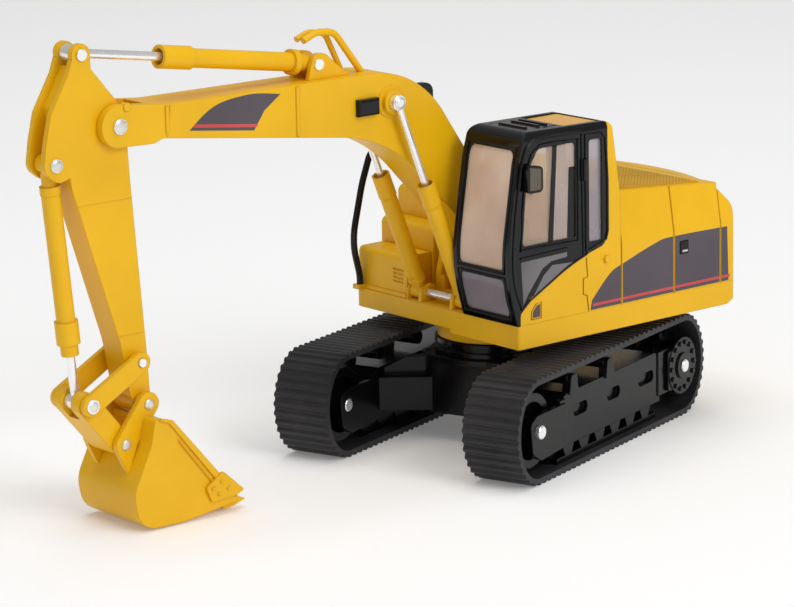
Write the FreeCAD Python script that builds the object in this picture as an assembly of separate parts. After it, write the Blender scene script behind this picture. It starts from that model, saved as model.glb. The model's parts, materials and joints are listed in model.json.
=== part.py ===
import FreeCAD, Part
import math
import os

# Die-cast scale model of a crawler excavator. Millimetres, +X forward along the boom,
# +Y to the cab side, +Z up, origin on the slew axis at ground level.
# The undercarriage stands turned under the upper structure in the rest position.

V = FreeCAD.Vector
os.makedirs("parts", exist_ok=True)

# ---- undercarriage ----
UNDER_YAW = 18.0            # degrees the tracks point to the left of the boom at rest
TRACK_GAUGE = 47.6          # track centre to track centre
SHOE_WIDTH = 13.6
WHEEL_BASE = 65.9           # belt end centre to belt end centre
BELT_HEIGHT = 23.3
BELT_END_X = 9.6            # half length of a belt end, less than half its height
BELT_BASE = 1.0             # belt thickness without ribs
RIB_HEIGHT = 0.5
RIB_COUNT = 92
AXLE_Z = 11.4
IDLER_X = 32.4
IDLER_R = 8.1
SPROCKET_X = -33.0
SPROCKET_R = 7.6
WHEEL_HALF_WIDTH = 4.3
AXLE_R = 1.5
RUN_FIT = 0.06              # radial clearance of a turning fit
FRAME_HALF_WIDTH = 5.1
SLEW_TOP_Z = 22.8
SLEW_POST_R = 5.0

# ---- upper structure ----
DECK_Z0 = 26.3
DECK_Z1 = 31.5
DECK_FRONT_X = 17.0
HOUSE_HALF_WIDTH = 27.4
TAIL_R = 55.0
HOOD_FRONT_X = -13.4
HOOD_REAR_X = -43.6
HOOD_TOP_FRONT_Z = 56.5
HOOD_TOP_REAR_Z = 54.2
HOOD_WALL = 1.4
HOUSE_WAIST_Z = 45.0        # the house sides lean in above this height
HOUSE_LEAN = 0.16           # inward travel per millimetre of height
CAB_Y0 = 9.75
CAB_Y1 = 27.4
CAB_REAR_X = -10.4
CAB_WAIST = (-12.9, 56.0)
CAB_FOOT_REAR_X = -13.2
CAB_TOP_Z = 73.0
ROOF_WELL_Z = 72.0          # floor of the sunken rear part of the cab roof
CAB_WALL = 1.3

# ---- arm pivots, side view (x, z) ----
BOOM_FOOT = (3.0, 46.0)
BOOM_NOSE = (103.3, 83.3)
LIFT_FOOT = (14.6, 33.5)
LIFT_HEAD = (32.8, 79.5)
CROWD_FOOT = (50.5, 89.3)
CROWD_HEAD = (110.7, 98.4)
CURL_FOOT = (117.6, 77.0)
LINK_ROD = (112.9, 27.5)
LINK_STICK = (100.3, 34.4)
BUCKET_PIN = (99.0, 25.5)
BUCKET_LINK = (105.0, 18.0)

BOOM_HALF = 5.2
STICK_HALF = 3.25
CYL_GAP = 0.15
LIFT_Y = 7.45
EAR_Y0 = 4.6
EAR_Y1 = 5.9
BUCKET_HALF = 10.0


def box(x0, x1, y0, y1, z0, z1):
    return Part.makeBox(x1 - x0, y1 - y0, z1 - z0, V(x0, y0, z0))


def rounded_wire(points, to_vector):
    """Closed outline. Each point is (a, b) or (a, b, corner radius)."""
    pts = [(p[0], p[1], p[2] if len(p) > 2 else 0.0) for p in points]
    count = len(pts)
    starts = []
    ends = []
    mids = []
    for i in range(count):
        ax, ay = pts[i - 1][:2]
        bx, by, radius = pts[i]
        cx, cy = pts[(i + 1) % count][:2]
        if radius <= 0.0:
            starts.append((bx, by))
            ends.append((bx, by))
            mids.append(None)
            continue
        ux, uy = ax - bx, ay - by
        wx, wy = cx - bx, cy - by
        ul = math.hypot(ux, uy)
        wl = math.hypot(wx, wy)
        ux, uy, wx, wy = ux / ul, uy / ul, wx / wl, wy / wl
        half = 0.5 * math.acos(max(-1.0, min(1.0, ux * wx + uy * wy)))
        cut = radius / math.tan(half)
        bis_x, bis_y = ux + wx, uy + wy
        bis_l = math.hypot(bis_x, bis_y)
        reach = radius / math.sin(half) - radius
        starts.append((bx + ux * cut, by + uy * cut))
        ends.append((bx + wx * cut, by + wy * cut))
        mids.append((bx + bis_x / bis_l * reach, by + bis_y / bis_l * reach))
    edges = []
    for i in range(count):
        if mids[i] is not None:
            arc = Part.Arc(to_vector(*starts[i]), to_vector(*mids[i]), to_vector(*ends[i]))
            edges.append(arc.toShape())
        a = to_vector(*ends[i])
        b = to_vector(*starts[(i + 1) % count])
        if a.distanceToPoint(b) > 1e-6:
            edges.append(Part.makeLine(a, b))
    return Part.Wire(Part.__sortEdges__(edges))


def side_plate(points, y0, y1):
    """Outline in the XZ plane, made solid from y0 to y1."""
    wire = rounded_wire(points, lambda a, b: V(a, y0, b))
    return Part.Face(wire).extrude(V(0, y1 - y0, 0))


def plan_plate(points, z0, z1):
    """Outline in the XY plane, made solid from z0 to z1."""
    wire = rounded_wire(points, lambda a, b: V(a, b, z0))
    return Part.Face(wire).extrude(V(0, 0, z1 - z0))


def front_plate(points, x0, x1):
    """Outline in the YZ plane, made solid from x0 to x1."""
    wire = rounded_wire(points, lambda a, b: V(x0, a, b))
    return Part.Face(wire).extrude(V(x1 - x0, 0, 0))


def pin_y(centre, radius, y0, y1):
    return Part.makeCylinder(radius, y1 - y0, V(centre[0], y0, centre[1]), V(0, 1, 0))


def both_sides(maker):
    """The same piece on +Y and mirrored to -Y, as two solids."""
    piece = maker()
    return [piece, piece.mirror(V(0, 0, 0), V(0, 1, 0))]


def bent_tube(points, y, radius):
    """Round tube in the plane at y. Ends are (x, z); each bend between is (x, z, bend radius)."""
    at = V(points[0][0], y, points[0][1])
    edges = []
    for before, bend, after in zip(points, points[1:], points[2:]):
        corner = V(bend[0], y, bend[1])
        back = (V(before[0], y, before[1]) - corner).normalize()
        ahead = (V(after[0], y, after[1]) - corner).normalize()
        half = 0.5 * back.getAngle(ahead)
        start = corner + back * (bend[2] / math.tan(half))
        end = corner + ahead * (bend[2] / math.tan(half))
        middle = corner + (back + ahead).normalize() * (bend[2] / math.sin(half) - bend[2])
        edges.append(Part.makeLine(at, start))
        edges.append(Part.Arc(start, middle, end).toShape())
        at = end
    edges.append(Part.makeLine(at, V(points[-1][0], y, points[-1][1])))
    first = edges[0]
    ring = Part.Wire([Part.Circle(first.Vertexes[0].Point, first.tangentAt(first.FirstParameter), radius).toShape()])
    return Part.Wire(edges).makePipeShell([ring], True, True)


def fuse(first, *others):
    return first.multiFuse(list(others)).removeSplitter()


def headed_pin(centre, shaft_r, head_r, half_shaft, head):
    """Straight pin across the centre plane with a low head at each end."""
    shaft = pin_y(centre, shaft_r, -half_shaft - head, half_shaft + head)
    left = pin_y(centre, head_r, half_shaft, half_shaft + head)
    right = pin_y(centre, head_r, -half_shaft - head, -half_shaft)
    return fuse(shaft, left, right)


def boss_hull(a, ra, b, rb, y0, y1):
    """Plate with round ends about two centres, joined by their outer tangents."""
    dx, dz = b[0] - a[0], b[1] - a[1]
    length = math.hypot(dx, dz)
    base = math.atan2(dz, dx)
    tilt = math.acos((ra - rb) / length)
    corners = []
    for centre, radius, sign in ((a, ra, 1), (b, rb, 1), (b, rb, -1), (a, ra, -1)):
        angle = base + sign * tilt
        corners.append((centre[0] + radius * math.cos(angle), centre[1] + radius * math.sin(angle)))
    web = side_plate(corners, y0, y1)
    return fuse(web, pin_y(a, ra, y0, y1), pin_y(b, rb, y0, y1))


def along(foot, head, distance):
    """Point on the line from foot to head, a distance from foot."""
    dx, dz = head[0] - foot[0], head[1] - foot[1]
    length = math.hypot(dx, dz)
    return (foot[0] + dx / length * distance, foot[1] + dz / length * distance)


def barrel_section(foot, head, y, d0, d1, radius):
    a = along(foot, head, d0)
    b = along(foot, head, d1)
    return Part.makeCylinder(radius, d1 - d0, V(a[0], y, a[1]), V(b[0] - a[0], 0, b[1] - a[1]))


def export(shape, node):
    shape.exportStep("parts/" + node + ".step")


def on_tracks(shape):
    """Turn a piece drawn along the tracks into its rest direction."""
    turned = shape.copy()
    turned.rotate(V(0, 0, 0), V(0, 0, 1), UNDER_YAW)
    return turned


# ======================= undercarriage =======================

HALF_BASE = WHEEL_BASE / 2.0
BELT_MID_Z = BELT_HEIGHT / 2.0


def belt_run(inset, count):
    """Evenly spaced points and outward normals round the belt, going forward along the top."""
    rx = BELT_END_X - inset
    rz = BELT_MID_Z - inset
    fine = []
    steps = 240
    for end in (1, -1):
        for k in range(steps + 1):
            t = math.pi / 2 - math.pi * k / steps
            x = end * (HALF_BASE + rx * math.cos(t))
            z = BELT_MID_Z + end * rz * math.sin(t)
            fine.append((x, z))
    fine.append(fine[0])
    lengths = [0.0]
    for a, b in zip(fine, fine[1:]):
        lengths.append(lengths[-1] + math.hypot(b[0] - a[0], b[1] - a[1]))
    total = lengths[-1]
    result = []
    k = 0
    for i in range(count):
        target = total * i / count
        while lengths[k + 1] < target:
            k += 1
        a, b = fine[k], fine[k + 1]
        part = (target - lengths[k]) / (lengths[k + 1] - lengths[k])
        tx, tz = b[0] - a[0], b[1] - a[1]
        tl = math.hypot(tx, tz)
        point = (a[0] + tx * part, a[1] + tz * part)
        result.append((point, (-tz / tl, tx / tl)))
    return result


def loop_face(inset, y):
    rx = BELT_END_X - inset
    rz = BELT_MID_Z - inset
    top_rear = V(-HALF_BASE, y, BELT_MID_Z + rz)
    top_front = V(HALF_BASE, y, BELT_MID_Z + rz)
    low_front = V(HALF_BASE, y, BELT_MID_Z - rz)
    low_rear = V(-HALF_BASE, y, BELT_MID_Z - rz)
    edges = [Part.makeLine(top_rear, top_front)]
    for end, a, b in ((1, top_front, low_front), (-1, low_rear, top_rear)):
        centre = V(end * HALF_BASE, y, BELT_MID_Z)
        tip = V(end * rx, 0, 0)
        curve = Part.Ellipse(centre + V(0, 0, rz), centre + tip, centre)
        t0 = curve.parameter(a)
        t1 = curve.parameter(b)
        half = curve.toShape(min(t0, t1), max(t0, t1))
        if (half.CenterOfMass.x - centre.x) * end < 0:
            half = curve.toShape(max(t0, t1), min(t0, t1) + 2 * math.pi)
        edges.append(half)
    edges.append(Part.makeLine(low_front, low_rear))
    return Part.Face(Part.Wire(Part.__sortEdges__(edges)))


def make_belt(side):
    y0 = side * TRACK_GAUGE / 2 - SHOE_WIDTH / 2
    core = loop_face(RIB_HEIGHT, y0).cut(loop_face(RIB_HEIGHT + BELT_BASE, y0))
    ring = core.Faces[0].extrude(V(0, SHOE_WIDTH, 0))
    outline = []
    for i, (point, normal) in enumerate(belt_run(0.0, RIB_COUNT * 4)):
        depth = 0.0 if i % 4 in (1, 2) else RIB_HEIGHT
        outline.append(V(point[0] + normal[0] * -depth, y0, point[1] + normal[1] * -depth))
    outline.append(outline[0])
    teeth = Part.Face(Part.makePolygon(outline)).cut(loop_face(RIB_HEIGHT + 0.3, y0))
    ribs = teeth.Faces[0].extrude(V(0, SHOE_WIDTH, 0))
    return ring.fuse(ribs).removeSplitter()


def make_track_frame(side):
    mid = TRACK_GAUGE / 2
    inner = mid - FRAME_HALF_WIDTH
    outer = mid + FRAME_HALF_WIDTH
    bottom = RIB_HEIGHT + BELT_BASE
    beam = side_plate([(-24.0, 5.0), (22.5, 5.0), (22.5, 14.6, 1), (18.5, 16.6, 1), (-22, 16.6, 1), (-24, 14.6, 1)],
                      inner, outer)
    skid = side_plate([(-23, bottom), (23, bottom), (21.5, 7), (-21.5, 7)], inner + 2.2, outer - 2.2)
    parts = [beam, skid]
    fork = [(20.0, 5.6, 1), (31.4, 4.9, 1.5), (35.0, 7.0, 1.5), (35.8, 13.6, 1.5), (33.0, 15.0, 1), (20.0, 15.0, 1)]
    parts.append(side_plate(fork, outer - 0.3, outer + 1.1))
    parts.append(side_plate(fork, inner - 1.1, inner + 0.3))
    drive = [(-23.0, 6.4), (-28, 6.4, 1), (-38.6, 7.5, 2), (-38.6, 15.3, 2), (-28, 16.4, 1), (-23.0, 16.4)]
    parts.append(side_plate(drive, inner - 1.1, inner + 0.3))
    parts.append(side_plate(drive, outer - 0.3, outer + 0.3))
    for x in (15.8, -0.4):
        post = side_plate([(x - 1.9, 16.0), (x + 1.9, 16.0), (x + 1.2, 20.2, 0.8), (x - 1.2, 20.2, 0.8)],
                          outer - 1.6, outer + 0.4)
        parts.append(post)
        parts.append(Part.makeCylinder(1.6, 8.6, V(x, inner + 1.0, 19.4), V(0, 1, 0)))
    for k in range(6):
        x = -17.5 + 7.0 * k
        parts.append(side_plate([(x - 2.6, 5.2), (x + 2.6, 5.2), (x + 1.3, 2.6), (x - 1.3, 2.6)], outer - 2.4, outer - 0.2))
        parts.append(Part.makeCylinder(2.0, 6.6, V(x + 3.5, inner + 1.8, bottom + 2.05), V(0, 1, 0)))
    parts.append(box(-22.5, 22.5, outer - 2.4, outer - 0.2, bottom, bottom + 1.3))
    parts.append(box(20.0, 22.6, outer - 0.5, outer + 0.7, 5.2, 15.8))
    body = fuse(parts[0], *parts[1:])
    for x, z, half in ((12.5, 11.9, 3.2), (-17.5, 11.7, 3.6), (-2.5, 11.8, 3.0)):
        slot = side_plate([(x - half, z - 1.3, 1.25), (x + half, z - 1.3, 1.25),
                           (x + half, z + 1.3, 1.25), (x - half, z + 1.3, 1.25)], outer - 1.0, outer + 2.0)
        body = body.cut(slot)
    for x in (IDLER_X, SPROCKET_X):
        body = body.cut(pin_y((x, AXLE_Z), AXLE_R, inner - 3.0, outer + 3.0))
    if side < 0:
        body = body.mirror(V(0, 0, 0), V(0, 1, 0))
    return body


def make_axle_pins(side):
    mid = TRACK_GAUGE / 2
    half = SHOE_WIDTH / 2
    pins = []
    for x in (IDLER_X, SPROCKET_X):
        pin = Part.makeCylinder(AXLE_R, 2 * half - 0.1, V(x, mid - half + 0.5, AXLE_Z), V(0, 1, 0))
        pin = pin.makeChamfer(0.25, [e for e in pin.Edges if e.isClosed()])
        pins.append(pin)
    group = Part.makeCompound(pins)
    if side < 0:
        group = group.mirror(V(0, 0, 0), V(0, 1, 0))
    return group


def make_motor_cover(side):
    """Round final-drive cover with its ring of bolts."""
    y0 = TRACK_GAUGE / 2 + FRAME_HALF_WIDTH + 0.3
    centre = (SPROCKET_X, AXLE_Z)
    disc = pin_y(centre, 6.5, y0, y0 + 0.9)
    tail = side_plate([(SPROCKET_X, AXLE_Z - 5.4), (-26.4, AXLE_Z - 4.6, 0.8), (-26.4, AXLE_Z + 4.2, 0.8),
                       (SPROCKET_X, AXLE_Z + 5.4)], y0, y0 + 0.7)
    hub = pin_y(centre, 3.0, y0 + 0.9, y0 + 1.3)
    bolts = []
    for k in range(14):
        angle = 2 * math.pi * k / 14
        spot = (SPROCKET_X + 5.3 * math.cos(angle), AXLE_Z + 5.3 * math.sin(angle))
        bolts.append(pin_y(spot, 0.55, y0 + 0.9, y0 + 1.3))
    cover = fuse(disc, tail, hub, *bolts)
    cover = cover.cut(pin_y(centre, AXLE_R, y0 - 1.0, y0 + 3.0))
    if side < 0:
        cover = cover.mirror(V(0, 0, 0), V(0, 1, 0))
    return cover


def make_idler(side):
    y = side * TRACK_GAUGE / 2
    wheel = pin_y((IDLER_X, AXLE_Z), IDLER_R, y - WHEEL_HALF_WIDTH, y + WHEEL_HALF_WIDTH)
    for y0, y1 in ((y + 2.6, y + 5.0), (y - 5.0, y - 2.6)):
        recess = pin_y((IDLER_X, AXLE_Z), 6.2, y0, y1).cut(pin_y((IDLER_X, AXLE_Z), 3.0, y0, y1))
        wheel = wheel.cut(recess)
    return wheel.cut(pin_y((IDLER_X, AXLE_Z), AXLE_R + RUN_FIT, y - 6, y + 6))


def make_sprocket(side):
    y = side * TRACK_GAUGE / 2
    teeth = 14
    outline = []
    for k in range(teeth):
        for share, radius in ((-0.30, SPROCKET_R - 1.1), (-0.14, SPROCKET_R), (0.14, SPROCKET_R),
                              (0.30, SPROCKET_R - 1.1)):
            angle = 2 * math.pi * (k + share) / teeth
            outline.append((SPROCKET_X + radius * math.cos(angle), AXLE_Z + radius * math.sin(angle)))
    rim = side_plate(outline, y - 1.6, y + 1.6)
    hub = pin_y((SPROCKET_X, AXLE_Z), 5.2, y - WHEEL_HALF_WIDTH, y + WHEEL_HALF_WIDTH)
    return fuse(rim, hub).cut(pin_y((SPROCKET_X, AXLE_Z), AXLE_R + RUN_FIT, y - 6, y + 6))


def make_carbody():
    """Centre box with four splayed legs, each let against its track frame."""
    reach = TRACK_GAUGE / 2 - FRAME_HALF_WIDTH
    centre = plan_plate([(13, -9, 2), (13, 9, 2), (9, 13, 2), (-9, 13, 2), (-13, 9, 2), (-13, -9, 2),
                         (-9, -13, 2), (9, -13, 2)], 6.5, 19.5)
    legs = []
    for sx in (1, -1):
        for sy in (1, -1):
            leg = plan_plate([(sx * 4, sy * 8), (sx * 11, sy * 5), (sx * 19.5, sy * reach), (sx * 10.5, sy * reach)],
                             7.0, 14.5)
            slope = front_plate([(-reach - 1, 15.5), (-13.0, 19.5), (13.0, 19.5), (reach + 1, 15.5), (reach + 1, 30),
                                 (-reach - 1, 30)], -30, 30)
            rib = plan_plate([(sx * 6, sy * 9), (sx * 8.5, sy * 7), (sx * 16.2, sy * reach), (sx * 13.8, sy * reach)],
                             14.0, 18.5).cut(slope)
            legs.extend([leg, rib])
    flange = Part.makeCylinder(14.2, 1.2, V(0, 0, 18.3))
    post = Part.makeCylinder(SLEW_POST_R, 9.5, V(0, 0, 19.5))
    return fuse(centre, flange, post, *legs)


def make_slew_ring():
    ring = Part.makeCylinder(13.0, SLEW_TOP_Z - 19.5, V(0, 0, 19.5))
    ring = ring.cut(Part.makeCylinder(SLEW_POST_R, 10, V(0, 0, 19.0)))
    groove = Part.makeCylinder(13.5, 0.8, V(0, 0, 20.8)).cut(Part.makeCylinder(12.3, 0.8, V(0, 0, 20.8)))
    return ring.cut(groove)


for side_name, side_sign in (("left", 1), ("right", -1)):
    export(on_tracks(make_belt(side_sign)), "belt_" + side_name)
    export(on_tracks(make_track_frame(side_sign)), "track_frame_" + side_name)
    export(on_tracks(make_axle_pins(side_sign)), "axle_pins_" + side_name)
    export(on_tracks(make_motor_cover(side_sign)), "motor_cover_" + side_name)
    export(on_tracks(make_idler(side_sign)), "idler_" + side_name)
    export(on_tracks(make_sprocket(side_sign)), "sprocket_" + side_name)
export(on_tracks(make_carbody()), "carbody")
export(on_tracks(make_slew_ring()), "slew_ring")


# ======================= platform and engine house =======================

def tail_block(radius, z0, z1, x_front, half_width):
    """Block whose rear is an arc about the slew axis."""
    disc = Part.makeCylinder(radius, z1 - z0, V(0, 0, z0))
    return disc.common(box(-radius - 1, x_front, -half_width, half_width, z0, z1))


def make_deck():
    plate = tail_block(TAIL_R, DECK_Z0, DECK_Z1, 0.0, HOUSE_HALF_WIDTH)
    front = plan_plate([(-1.0, -HOUSE_HALF_WIDTH), (DECK_FRONT_X, -HOUSE_HALF_WIDTH, 2.0),
                        (DECK_FRONT_X, HOUSE_HALF_WIDTH, 0.6), (-1.0, HOUSE_HALF_WIDTH)], DECK_Z0, DECK_Z1)
    plate = fuse(plate, front)
    low_tail = Part.makeCone(TAIL_R + 3, TAIL_R - 3, 3.6, V(0, 0, DECK_Z0 + 2.8), V(0, 0, -1))
    keep = fuse(low_tail.common(box(-80, 0, -60, 60, 0, 60)), box(-1, 30, -40, 40, DECK_Z0, DECK_Z0 + 2.8),
                box(-80, 30, -60, 60, DECK_Z0 + 2.2, DECK_Z1))
    plate = plate.common(keep)
    plate = plate.cut(box(13.0, 20.0, -HOUSE_HALF_WIDTH - 1, 5.0, DECK_Z0 - 1, DECK_Z0 + 1.0))
    turret = Part.makeCylinder(12.4, DECK_Z0 - SLEW_TOP_Z - 0.2 + 0.5, V(0, 0, SLEW_TOP_Z + 0.2))
    plate = fuse(plate, turret)
    return plate.cut(Part.makeCylinder(SLEW_POST_R + RUN_FIT, 7.0, V(0, 0, 22.2)))


def house_profile(inset):
    """Side view of the engine house between the cab and the counterweight."""
    return [(HOOD_FRONT_X - inset, DECK_Z1 - (1.0 if inset else 0.0)),
            (HOOD_REAR_X + inset, DECK_Z1 - (1.0 if inset else 0.0)),
            (HOOD_REAR_X + inset, HOOD_TOP_REAR_Z - inset),
            (HOOD_FRONT_X - inset, HOOD_TOP_FRONT_Z - inset, 1.2)]


def house_section(inset, top_z, x0, x1):
    """Cross-section of the engine house: upright sides that lean in above the waist."""
    waist = HOUSE_HALF_WIDTH - inset
    shoulder = waist - HOUSE_LEAN * (top_z - HOUSE_WAIST_Z)
    return front_plate([(-waist, DECK_Z1 - 1), (waist, DECK_Z1 - 1), (waist, HOUSE_WAIST_Z, 6), (shoulder, top_z),
                        (-shoulder, top_z), (-waist, HOUSE_WAIST_Z, 6)], x0, x1)


def make_hood():
    shell = side_plate(house_profile(0.0), -HOUSE_HALF_WIDTH, HOUSE_HALF_WIDTH)
    shell = shell.common(house_section(0.0, HOOD_TOP_FRONT_Z + 1, HOOD_REAR_X - 1, HOOD_FRONT_X + 1))
    inner = side_plate(house_profile(HOOD_WALL), -HOUSE_HALF_WIDTH + HOOD_WALL, HOUSE_HALF_WIDTH - HOOD_WALL)
    inner = inner.common(house_section(HOOD_WALL, HOOD_TOP_FRONT_Z + 1, HOOD_REAR_X - 3, HOOD_FRONT_X + 3))
    shell = shell.cut(inner)
    for side in (1, -1):
        y_out = side * HOUSE_HALF_WIDTH
        y0, y1 = min(y_out, y_out - side * 0.35), max(y_out, y_out - side * 0.35)
        seam = side_plate([(-29.4, DECK_Z1 - 1), (-29.0, DECK_Z1 - 1), (-29.0, 60), (-29.4, 60)], y0, y1)
        leaned = seam.copy()
        lean_angle = side * math.degrees(math.atan(HOUSE_LEAN))
        leaned.rotate(V(0, y_out, HOUSE_WAIST_Z), V(1, 0, 0), lean_angle)
        above = box(-60, 0, -60, 60, HOUSE_WAIST_Z, 80)
        shell = shell.cut(fuse(seam.cut(above), leaned.common(above)))
    well = grille_block(0.0)
    return shell.cut(well)


GRILLE = (-37.5, -16.5, -1.0, 24.0)
GRILLE_DEPTH = 0.8


def grille_block(shrink):
    x0, x1, y0, y1 = GRILLE
    slope = (HOOD_TOP_FRONT_Z - HOOD_TOP_REAR_Z) / (HOOD_FRONT_X - HOOD_REAR_X)
    z0 = HOOD_TOP_REAR_Z + (x0 - HOOD_REAR_X) * slope
    z1 = HOOD_TOP_REAR_Z + (x1 - HOOD_REAR_X) * slope
    rise = 2.0 if shrink == 0.0 else -shrink
    floor = shrink / 2 - GRILLE_DEPTH
    return side_plate([(x0 + shrink, z0 + floor), (x1 - shrink, z1 + floor),
                       (x1 - shrink, z1 + rise), (x0 + shrink, z0 + rise)], y0 + shrink, y1 - shrink)


def make_grille():
    plate = grille_block(0.1)
    x0, x1, y0, y1 = GRILLE
    holes = []
    for i in range(7):
        for j in range(9):
            x = x0 + 1.9 + i * 2.87
            y = y0 + 1.9 + j * 2.65
            holes.append(box(x - 0.8, x + 0.8, y - 0.9, y + 0.9, 50, 60))
    return plate.cut(Part.makeCompound(holes))


def make_counterweight():
    top = HOOD_TOP_REAR_Z
    gap = 0.2
    outline = [(40.0, DECK_Z1), (TAIL_R, DECK_Z1, 0.4), (TAIL_R, 48.6, 5.0), (TAIL_R - 4.6, top - 0.9, 3.0),
               (TAIL_R - 9.0, top, 0), (40.0, top)]
    wire = rounded_wire(outline, lambda a, b: V(a, 0, b))
    ring = Part.Face(wire).revolve(V(0, 0, 0), V(0, 0, 1), 360)
    block = ring.common(box(-TAIL_R - 1, HOOD_REAR_X - gap, -HOUSE_HALF_WIDTH, HOUSE_HALF_WIDTH, DECK_Z1, top + 1))
    return block.common(house_section(0.0, top + 1, -60, -40))


def make_fuel_tank():
    """Stepped tank on the right, behind the tool box."""
    low = side_plate([(HOOD_FRONT_X + 0.2, DECK_Z1), (9.0, DECK_Z1), (9.0, 46.5, 1.5), (HOOD_FRONT_X + 0.2, 46.5)],
                     -HOUSE_HALF_WIDTH + 0.2, -9.4)
    high = side_plate([(HOOD_FRONT_X + 0.2, 45.0), (4.0, 45.0), (4.0, 54.0, 2.5), (HOOD_FRONT_X + 0.2, 54.0)],
                      -HOUSE_HALF_WIDTH + 0.2, -9.4)
    tank = fuse(low, high)
    limit = front_plate([(-HOUSE_HALF_WIDTH + 0.2, DECK_Z1), (-9.4, DECK_Z1), (-9.4, 54, 1.5),
                         (-HOUSE_HALF_WIDTH + 0.2, 54, 2.5)], -20, 12)
    cap = Part.makeCylinder(1.8, 1.0, V(-7.0, -20.0, 54.0))
    return fuse(tank.common(limit), cap)


STEP_TOP_Z = DECK_Z1 + 1.0
LUG_OUTER_Y = CAB_Y0 - 0.1
RAIL_Y = -HOUSE_HALF_WIDTH + 2.2


def make_tool_box():
    shape = side_plate([(9.2, DECK_Z1), (16.2, DECK_Z1), (16.2, 40.9, 1.2), (9.2, 40.9)],
                       -HOUSE_HALF_WIDTH + 0.8, -10.2)
    step = box(9.2, 16.6, -HOUSE_HALF_WIDTH + 0.8, -10.2, DECK_Z1, STEP_TOP_Z)
    tongue = box(16.0, 18.4, RAIL_Y - 1.2, RAIL_Y + 1.2, DECK_Z1, STEP_TOP_Z)
    shape = fuse(shape, step, tongue)
    for k in range(4):
        z = 34.6 + 0.9 * k
        shape = shape.cut(box(15.9, 17.0, -14.8, -11.4, z, z + 0.45))
    return shape


def make_boom_bracket():
    """Two cheeks that hold the boom foot, joined by a sloping apron and a floor."""
    cheek = [(-7.0, DECK_Z1), (10.6, DECK_Z1), (10.6, 37.0, 2), (7.6, 48.2, 3), (1.5, 51.6, 3), (-4.5, 49.0, 3)]
    inner = BOOM_HALF + 0.15
    left = side_plate(cheek, inner, inner + 1.6)
    right = side_plate(cheek, -inner - 1.6, -inner)
    floor = box(-7.0, 10.6, -inner - 1.0, inner + 1.0, DECK_Z1, DECK_Z1 + 1.2)
    apron = box(9.4, 10.6, -inner - 1.0, inner + 1.0, DECK_Z1, 36.6)
    window = box(9.0, 11.0, -4.0, 4.0, 33.6, 40.0)
    body = fuse(left, right, floor, apron.cut(window))
    lugs = []
    lug_outline = [(11.5, DECK_Z1), (16.9, DECK_Z1), (16.6, 34.6, 1.4), (12.8, 35.6, 1.6)]
    for side in (1, -1):
        for near, far in ((LIFT_Y - 2.75, LIFT_Y - 1.75), (LIFT_Y + 1.75, LUG_OUTER_Y)):
            y0, y1 = sorted((side * near, side * far))
            lugs.append(side_plate(lug_outline, y0, y1))
    base = box(10.4, 16.9, -LUG_OUTER_Y, LUG_OUTER_Y, DECK_Z1, DECK_Z1 + 0.2)
    body = fuse(body, base, *lugs)
    body = body.cut(pin_y(BOOM_FOOT, 1.6, -20, 20))
    return body.cut(pin_y(LIFT_FOOT, 0.9, -20, 20))


def make_handrail():
    """Bent tube from the front step, over and down on to the tank."""
    bends = [(17.3, STEP_TOP_Z), (17.3, 34.5, 10.0), (19.3, 42.5, 16.0), (16.2, 55.0, 30.0), (13.2, 63.0, 4.0),
             (5.6, 62.9, 5.0), (1.2, 58.6, 4.0), (1.2, 54.0)]
    return bent_tube(bends, RAIL_Y, 0.75)


def make_mirror_right():
    """Rear-view mirror on its stalk, standing on the tank."""
    y = -HOUSE_HALF_WIDTH + 3.4
    stalk = Part.makeCylinder(0.6, 15.4, V(-1.0, y, 54.0))
    head = side_plate([(-3.4, 68.8, 1.6), (1.8, 68.8, 1.6), (1.8, 76.0, 2.2), (-3.4, 76.0, 2.2)], y - 0.8, y + 0.8)
    return fuse(stalk, head)


export(make_deck(), "deck")
export(make_hood(), "hood")
export(make_grille(), "hood_grille")
export(make_counterweight(), "counterweight")
export(make_fuel_tank(), "fuel_tank")
export(make_tool_box(), "tool_box")
export(make_boom_bracket(), "boom_bracket")
export(make_handrail(), "handrail")
export(make_mirror_right(), "mirror_right")
export(Part.makeCompound([headed_pin(BOOM_FOOT, 1.6, 2.1, BOOM_HALF + 1.75, 0.5),
                          pin_y(LIFT_FOOT, 0.9, -LUG_OUTER_Y, LUG_OUTER_Y)]), "platform_pins")


# ======================= cab =======================

CAB_OUTLINE = [(17.2, DECK_Z1), (20.6, 43.5, 34), (16.9, 66.5, 14), (15.0, CAB_TOP_Z, 3.2),
               (CAB_REAR_X, CAB_TOP_Z - 0.4, 2.2), (*CAB_WAIST, 6), (CAB_FOOT_REAR_X, DECK_Z1)]


def cab_block(inset):
    """Cab volume, set in by a distance on the front, top, rear and both sides."""
    low = DECK_Z1 if inset == 0.0 else DECK_Z1 - 3.0
    block = side_plate(CAB_OUTLINE, CAB_Y0 + inset, CAB_Y1 - inset)
    if inset == 0.0:
        rim = front_plate([(CAB_Y0, low), (CAB_Y1, low), (CAB_Y1, CAB_TOP_Z + 0.2, 2.2), (CAB_Y0, CAB_TOP_Z + 0.2, 2.2)],
                          -20, 30)
        return block.common(rim)
    face = Part.Face(rounded_wire(CAB_OUTLINE, lambda a, b: V(a, CAB_Y0 + inset, b)))
    inner = face.makeOffset2D(-inset)
    solid = Part.Face(inner.OuterWire).extrude(V(0, CAB_Y1 - CAB_Y0 - 2 * inset, 0))
    floor_gap = side_plate([(CAB_FOOT_REAR_X + inset, low), (16.0, low), (17.4, DECK_Z1 + inset + 0.3),
                            (CAB_FOOT_REAR_X + inset, DECK_Z1 + inset + 0.3)], CAB_Y0 + inset, CAB_Y1 - inset)
    return fuse(solid, floor_gap)


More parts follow.
